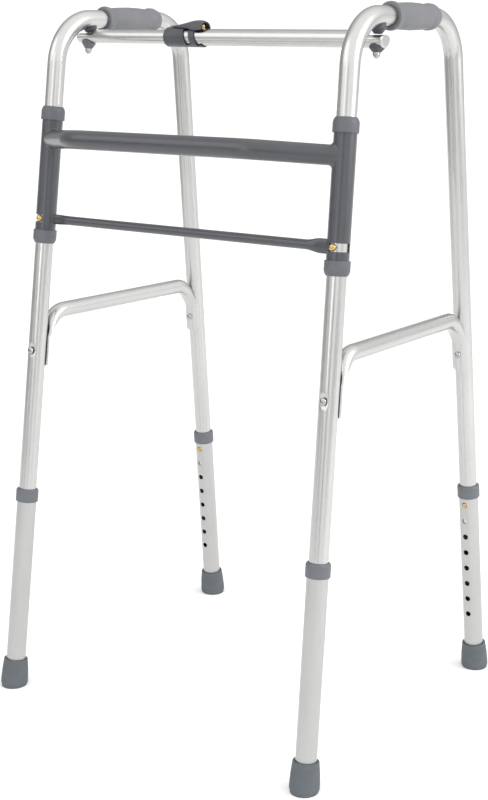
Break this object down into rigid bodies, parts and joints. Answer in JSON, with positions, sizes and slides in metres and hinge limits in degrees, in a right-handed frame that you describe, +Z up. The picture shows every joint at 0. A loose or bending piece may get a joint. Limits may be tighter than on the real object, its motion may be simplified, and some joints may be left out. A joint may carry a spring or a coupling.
{
  "type": "walking frame",
  "caption": "Folding walking frame with hinged inverted-U side frames on a front H-frame, push-button telescopic legs, rubber feet, handle grips and a telescopic top bar.",
  "frame": {"origin": "on the floor, midway between the feet", "axes": "+Z up, -Y the way the person walks, +X the person's left when they stand at +Y and face -Y"},
  "size_m": [0.5676, 0.5127, 0.9842],
  "materials": {
    "aluminium": "satin, drawn tube",
    "grey_paint": "semi-gloss powder coat with a slight orange peel",
    "sleeve_plastic": "moulded, satin",
    "grey_plastic": "moulded, satin",
    "foot_rubber": "matt",
    "grip_vinyl": "matt soft vinyl",
    "dark_plastic": "moulded, satin",
    "brass": "polished",
    "steel": "zinc plated",
    "spring_steel": "bare"
  },
  "bodies": {
    "h_frame": {"crossbar_lower": "grey_paint", "crossbar_upper": "grey_paint", "sleeve_left": "grey_paint", "sleeve_collar_lower_left": "sleeve_plastic", "sleeve_collar_upper_left": "sleeve_plastic", "sleeve_right": "grey_paint", "sleeve_collar_lower_right": "sleeve_plastic", "sleeve_collar_upper_right": "sleeve_plastic"},
    "side_left": {"side_frame_left": "aluminium", "grip_left": "grip_vinyl", "brace_left": "aluminium", "sleeve_spring_left": "spring_steel", "bar_saddle_left": "dark_plastic", "brace_bolt_front_left": "steel", "brace_nut_front_left": "steel", "leg_spring_front_left": "spring_steel", "brace_bolt_rear_left": "steel", "brace_nut_rear_left": "steel", "leg_spring_rear_left": "spring_steel", "pivot_bolt_left": "steel", "dome_nut_left": "steel"},
    "side_right": {"side_frame_right": "aluminium", "grip_right": "grip_vinyl", "brace_right": "aluminium", "sleeve_spring_right": "spring_steel", "bar_saddle_right": "dark_plastic", "brace_bolt_front_right": "steel", "brace_nut_front_right": "steel", "leg_spring_front_right": "spring_steel", "brace_bolt_rear_right": "steel", "brace_nut_rear_right": "steel", "leg_spring_rear_right": "spring_steel"},
    "bar_inner": {"top_bar_inner": "aluminium", "bar_spring": "spring_steel", "cup_washer_left": "grey_plastic"},
    "bar_outer": {"top_bar_outer": "aluminium", "bar_clip": "dark_plastic", "pivot_bolt_right": "steel", "cup_washer_right": "dark_plastic", "dome_nut_right": "steel"},
    "bar_lever": {"bar_lever": "dark_plastic"},
    "bar_button": {"bar_button": "brass"},
    "sleeve_button_left": {"sleeve_button_left": "brass"},
    "leg_front_left": {"lower_leg_front_left": "aluminium", "leg_collar_front_left": "grey_plastic", "foot_front_left": "foot_rubber"},
    "leg_button_front_left": {"leg_button_front_left": "brass"},
    "leg_rear_left": {"lower_leg_rear_left": "aluminium", "leg_collar_rear_left": "grey_plastic", "foot_rear_left": "foot_rubber"},
    "leg_button_rear_left": {"leg_button_rear_left": "brass"},
    "sleeve_button_right": {"sleeve_button_right": "brass"},
    "leg_front_right": {"lower_leg_front_right": "aluminium", "leg_collar_front_right": "grey_plastic", "foot_front_right": "foot_rubber"},
    "leg_button_front_right": {"leg_button_front_right": "brass"},
    "leg_rear_right": {"lower_leg_rear_right": "aluminium", "leg_collar_rear_right": "grey_plastic", "foot_rear_right": "foot_rubber"},
    "leg_button_rear_right": {"leg_button_rear_right": "brass"}
  },
  "joints": [
    {"name": "left_fold", "type": "hinge", "parent": "h_frame", "child": "side_left", "pos_m": [-0.264, -0.237, 0], "axis": [-0.0226, -0.1209, -0.9924], "range_deg": [0, 68]},
    {"name": "right_fold", "type": "hinge", "parent": "h_frame", "child": "side_right", "pos_m": [0.264, -0.237, 0], "axis": [-0.0226, 0.1209, 0.9924], "range_deg": [0, 44.2]},
    {"name": "bar_turn", "type": "hinge", "parent": "side_left", "child": "bar_inner", "pos_m": [-0.24107, -0.06086, 0.9425], "axis": [0.0226, 0.1209, 0.9924], "range_deg": [0, 71.15]},
    {"name": "bar_slide", "type": "slide", "parent": "bar_inner", "child": "bar_outer", "axis": [-1, 0.0011, 0.0093], "range_m": [0, 0.09719]},
    {"name": "lever_press", "type": "hinge", "parent": "bar_outer", "child": "bar_lever", "pos_m": [-0.08636, -0.06104, 0.95556], "axis": [0.0011, 1, 0], "range_deg": [0, 2.5], "stiffness_Nm_per_rad": 0.3, "springref_deg": -2.86},
    {"name": "bar_button_press", "type": "slide", "parent": "bar_outer", "child": "bar_button", "axis": [0.0093, 0, 1], "range_m": [-0.00101, 0]},
    {"name": "sleeve_button_press_left", "type": "slide", "parent": "side_left", "child": "sleeve_button_left", "axis": [0.0028, -0.9927, 0.1208], "range_m": [-0.0035, 0], "stiffness_N_per_m": 400, "springref_m": 0.002},
    {"name": "sleeve_button_press_right", "type": "slide", "parent": "side_right", "child": "sleeve_button_right", "axis": [-0.0028, -0.9927, 0.1208], "range_m": [-0.0035, 0], "stiffness_N_per_m": 400, "springref_m": 0.002},
    {"name": "leg_slide_front_left", "type": "slide", "parent": "side_left", "child": "leg_front_left", "axis": [0.0226, 0.1209, 0.9924], "range_m": [0, 0.1778]},
    {"name": "leg_button_press_front_left", "type": "slide", "parent": "leg_front_left", "child": "leg_button_front_left", "axis": [-0.0028, 0.9927, -0.1208], "range_m": [-0.0035, 0], "stiffness_N_per_m": 400, "springref_m": 0.002},
    {"name": "leg_slide_rear_left", "type": "slide", "parent": "side_left", "child": "leg_rear_left", "axis": [0.0215, -0.1065, 0.9941], "range_m": [0, 0.1778]},
    {"name": "leg_button_press_rear_left", "type": "slide", "parent": "leg_rear_left", "child": "leg_button_rear_left", "axis": [-0.0023, -0.9943, -0.1065], "range_m": [-0.0035, 0], "stiffness_N_per_m": 400, "springref_m": 0.002},
    {"name": "leg_slide_front_right", "type": "slide", "parent": "side_right", "child": "leg_front_right", "axis": [-0.0226, 0.1209, 0.9924], "range_m": [0, 0.1778]},
    {"name": "leg_button_press_front_right", "type": "slide", "parent": "leg_front_right", "child": "leg_button_front_right", "axis": [0.0028, 0.9927, -0.1208], "range_m": [-0.0035, 0], "stiffness_N_per_m": 400, "springref_m": 0.002},
    {"name": "leg_slide_rear_right", "type": "slide", "parent": "side_right", "child": "leg_rear_right", "axis": [-0.0215, -0.1065, 0.9941], "range_m": [0, 0.1778]},
    {"name": "leg_button_press_rear_right", "type": "slide", "parent": "leg_rear_right", "child": "leg_button_rear_right", "axis": [0.0023, -0.9943, -0.1065], "range_m": [-0.0035, 0], "stiffness_N_per_m": 400, "springref_m": 0.002}
  ],
  "couplings": [
    {"joint": "right_fold", "follows": "left_fold", "ratio": 0.65},
    {"joint": "bar_turn", "follows": "left_fold", "ratio": 1.0463},
    {"joint": "bar_slide", "follows": "left_fold", "m_per_rad": 0.081882},
    {"joint": "bar_button_press", "follows": "lever_press", "m_per_rad": -0.0229}
  ]
}
